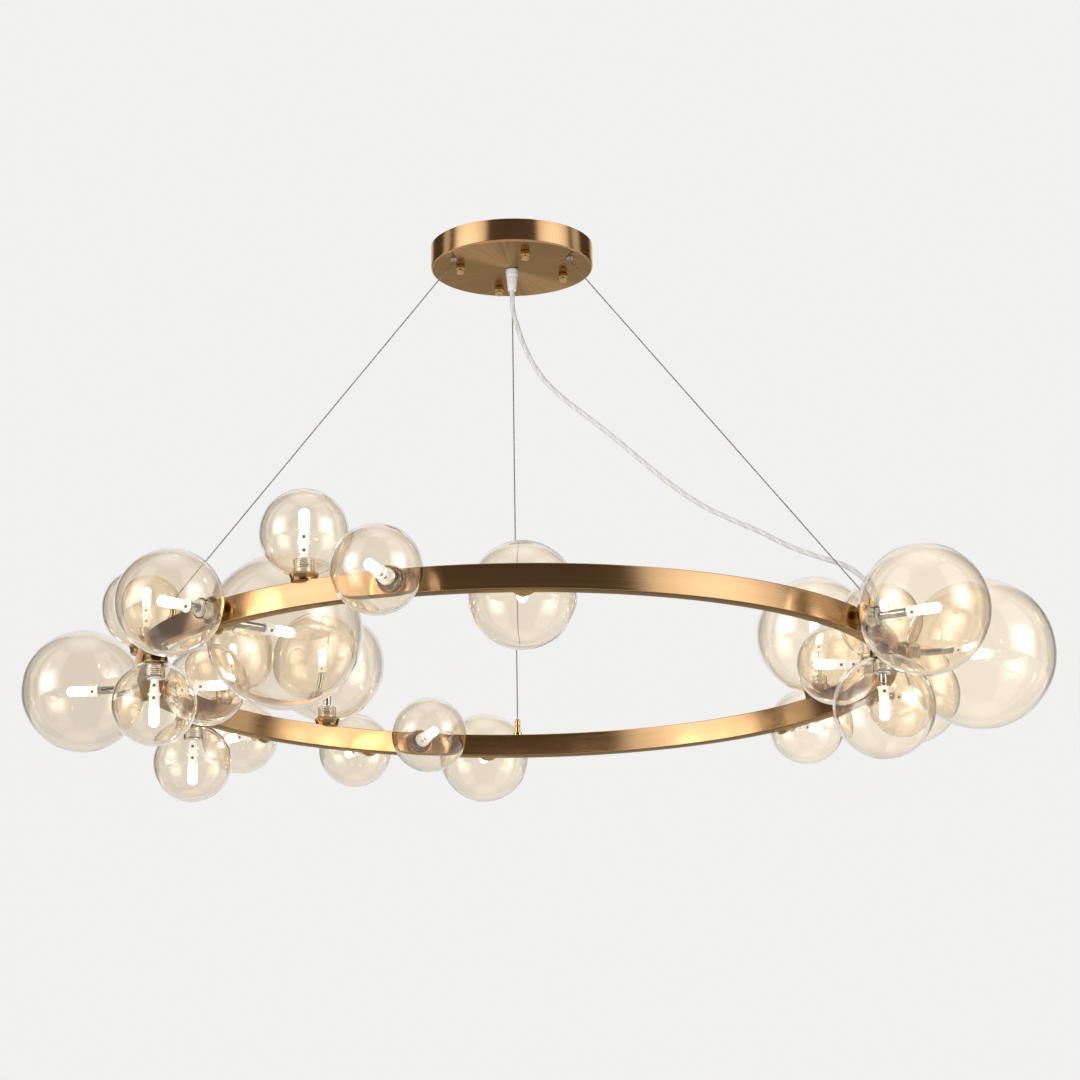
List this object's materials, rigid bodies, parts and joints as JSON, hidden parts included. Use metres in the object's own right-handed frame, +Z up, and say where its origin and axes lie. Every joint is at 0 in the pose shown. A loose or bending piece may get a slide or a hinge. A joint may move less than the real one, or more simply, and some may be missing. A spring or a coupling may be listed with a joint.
{
  "type": "orb chandelier",
  "caption": "Ring chandelier: glass orbs screwed on holders round capsule lamps point in, out, up and down from a brass ring hung by wires and a cord from a round ceiling canopy.",
  "frame": {"origin": "middle of the ceiling face, on top of the ceiling bracket", "axes": "+Z up into the ceiling, +X to the right and +Y to the back as seen from the front"},
  "size_m": [1.0381, 0.932, 0.57],
  "materials": {
    "brass": "brushed warm brass, clear lacquered",
    "steel": "zinc-plated bracket and bare steel wire",
    "glass": "clear glass with a thin champagne tint",
    "ceramic": "white lamp ceramic with a frosted capsule",
    "clear_plastic": "translucent clear plastic"
  },
  "bodies": {
    "ceiling_mount": {"ceiling_bracket": "steel", "canopy": "brass", "strain_relief": "clear_plastic", "cap_nut_1": "brass", "cap_nut_2": "brass", "cap_nut_3": "brass", "cap_nut_4": "brass", "suspension_wire_1": "steel", "suspension_wire_2": "steel", "suspension_wire_3": "steel", "power_cord": "clear_plastic"},
    "ring": {"ring": "brass", "lamp_01": "ceramic", "lamp_02": "ceramic", "lamp_03": "ceramic", "lamp_04": "ceramic", "lamp_05": "ceramic", "lamp_06": "ceramic", "lamp_07": "ceramic", "lamp_08": "ceramic", "lamp_09": "ceramic", "lamp_10": "ceramic", "lamp_11": "ceramic", "lamp_12": "ceramic", "lamp_13": "ceramic", "lamp_14": "ceramic", "lamp_15": "ceramic", "lamp_16": "ceramic", "lamp_17": "ceramic", "lamp_18": "ceramic", "lamp_19": "ceramic", "lamp_20": "ceramic", "lamp_21": "ceramic", "lamp_22": "ceramic", "lamp_23": "ceramic", "lamp_24": "ceramic"},
    "globe_01": {"globe_01": "glass"},
    "globe_02": {"globe_02": "glass"},
    "globe_03": {"globe_03": "glass"},
    "globe_04": {"globe_04": "glass"},
    "globe_05": {"globe_05": "glass"},
    "globe_06": {"globe_06": "glass"},
    "globe_07": {"globe_07": "glass"},
    "globe_08": {"globe_08": "glass"},
    "globe_09": {"globe_09": "glass"},
    "globe_10": {"globe_10": "glass"},
    "globe_11": {"globe_11": "glass"},
    "globe_12": {"globe_12": "glass"},
    "globe_13": {"globe_13": "glass"},
    "globe_14": {"globe_14": "glass"},
    "globe_15": {"globe_15": "glass"},
    "globe_16": {"globe_16": "glass"},
    "globe_17": {"globe_17": "glass"},
    "globe_18": {"globe_18": "glass"},
    "globe_19": {"globe_19": "glass"},
    "globe_20": {"globe_20": "glass"},
    "globe_21": {"globe_21": "glass"},
    "globe_22": {"globe_22": "glass"},
    "globe_23": {"globe_23": "glass"},
    "globe_24": {"globe_24": "glass"}
  },
  "joints": [
    {"name": "ring_height", "type": "slide", "parent": "ceiling_mount", "child": "ring", "axis": [0, 0, 1], "range_m": [0, 0.25], "deforming": ["suspension_wire_1", "suspension_wire_2", "suspension_wire_3", "power_cord"]},
    {"name": "globe_01_thread", "type": "hinge", "parent": "ring", "child": "globe_01", "pos_m": [0.37096, 0.03899, -0.4405], "axis": [0, 0, 1], "range_deg": [0, 540]},
    {"name": "globe_02_thread", "type": "hinge", "parent": "ring", "child": "globe_02", "pos_m": [0.36015, 0.1212, -0.4525], "axis": [0.9478, 0.319, 0], "range_deg": [0, 540]},
    {"name": "globe_03_thread", "type": "hinge", "parent": "ring", "child": "globe_03", "pos_m": [0.31871, 0.19378, -0.4405], "axis": [0, 0, 1], "range_deg": [0, 540]},
    {"name": "globe_04_thread", "type": "hinge", "parent": "ring", "child": "globe_04", "pos_m": [0.28151, 0.25525, -0.4525], "axis": [0.7408, 0.6717, 0], "range_deg": [0, 540]},
    {"name": "globe_05_thread", "type": "hinge", "parent": "ring", "child": "globe_05", "pos_m": [-0.03312, 0.37855, -0.4525], "axis": [-0.0872, 0.9962, 0], "range_deg": [0, 540]},
    {"name": "globe_06_thread", "type": "hinge", "parent": "ring", "child": "globe_06", "pos_m": [-0.11067, 0.34887, -0.4525], "axis": [0.3024, -0.9532, 0], "range_deg": [0, 540]},
    {"name": "globe_07_thread", "type": "hinge", "parent": "ring", "child": "globe_07", "pos_m": [-0.1624, 0.34355, -0.4525], "axis": [-0.4274, 0.9041, 0], "range_deg": [0, 540]},
    {"name": "globe_08_thread", "type": "hinge", "parent": "ring", "child": "globe_08", "pos_m": [-0.20912, 0.30887, -0.4405], "axis": [0, 0, 1], "range_deg": [0, 540]},
    {"name": "globe_09_thread", "type": "hinge", "parent": "ring", "child": "globe_09", "pos_m": [-0.27057, 0.26682, -0.4525], "axis": [-0.712, 0.7022, 0], "range_deg": [0, 540]},
    {"name": "globe_10_thread", "type": "hinge", "parent": "ring", "child": "globe_10", "pos_m": [-0.31068, 0.20642, -0.4405], "axis": [0, 0, 1], "range_deg": [0, 540]},
    {"name": "globe_11_thread", "type": "hinge", "parent": "ring", "child": "globe_11", "pos_m": [-0.33969, 0.15409, -0.4645], "axis": [0, 0, -1], "range_deg": [0, 540]},
    {"name": "globe_12_thread", "type": "hinge", "parent": "ring", "child": "globe_12", "pos_m": [-0.36198, 0.0541, -0.4525], "axis": [0.989, -0.1478, 0], "range_deg": [0, 540]},
    {"name": "globe_13_thread", "type": "hinge", "parent": "ring", "child": "globe_13", "pos_m": [-0.37592, 0.05551, -0.4525], "axis": [-0.9893, 0.1461, 0], "range_deg": [0, 540]},
    {"name": "globe_14_thread", "type": "hinge", "parent": "ring", "child": "globe_14", "pos_m": [-0.36989, -0.04804, -0.4405], "axis": [0, 0, 1], "range_deg": [0, 540]},
    {"name": "globe_15_thread", "type": "hinge", "parent": "ring", "child": "globe_15", "pos_m": [-0.34728, -0.1361, -0.4645], "axis": [0, 0, -1], "range_deg": [0, 540]},
    {"name": "globe_16_thread", "type": "hinge", "parent": "ring", "child": "globe_16", "pos_m": [-0.28282, -0.23231, -0.4525], "axis": [0.7727, 0.6347, 0], "range_deg": [0, 540]},
    {"name": "globe_17_thread", "type": "hinge", "parent": "ring", "child": "globe_17", "pos_m": [-0.27564, -0.26157, -0.4525], "axis": [-0.7254, -0.6884, 0], "range_deg": [0, 540]},
    {"name": "globe_18_thread", "type": "hinge", "parent": "ring", "child": "globe_18", "pos_m": [-0.19211, -0.31972, -0.4405], "axis": [0, 0, 1], "range_deg": [0, 540]},
    {"name": "globe_19_thread", "type": "hinge", "parent": "ring", "child": "globe_19", "pos_m": [-0.1092, -0.36397, -0.4525], "axis": [-0.2874, -0.9578, 0], "range_deg": [0, 540]},
    {"name": "globe_20_thread", "type": "hinge", "parent": "ring", "child": "globe_20", "pos_m": [0.00703, -0.36593, -0.4525], "axis": [-0.0192, 0.9998, 0], "range_deg": [0, 540]},
    {"name": "globe_21_thread", "type": "hinge", "parent": "ring", "child": "globe_21", "pos_m": [0.32261, -0.20081, -0.4525], "axis": [0.849, -0.5284, 0], "range_deg": [0, 540]},
    {"name": "globe_22_thread", "type": "hinge", "parent": "ring", "child": "globe_22", "pos_m": [0.35331, -0.11959, -0.4645], "axis": [0, 0, -1], "range_deg": [0, 540]},
    {"name": "globe_23_thread", "type": "hinge", "parent": "ring", "child": "globe_23", "pos_m": [0.37756, -0.04302, -0.4525], "axis": [0.9936, -0.1132, 0], "range_deg": [0, 540]},
    {"name": "globe_24_thread", "type": "hinge", "parent": "ring", "child": "globe_24", "pos_m": [0.36565, -0.01596, -0.4525], "axis": [-0.999, 0.0436, 0], "range_deg": [0, 540]}
  ]
}
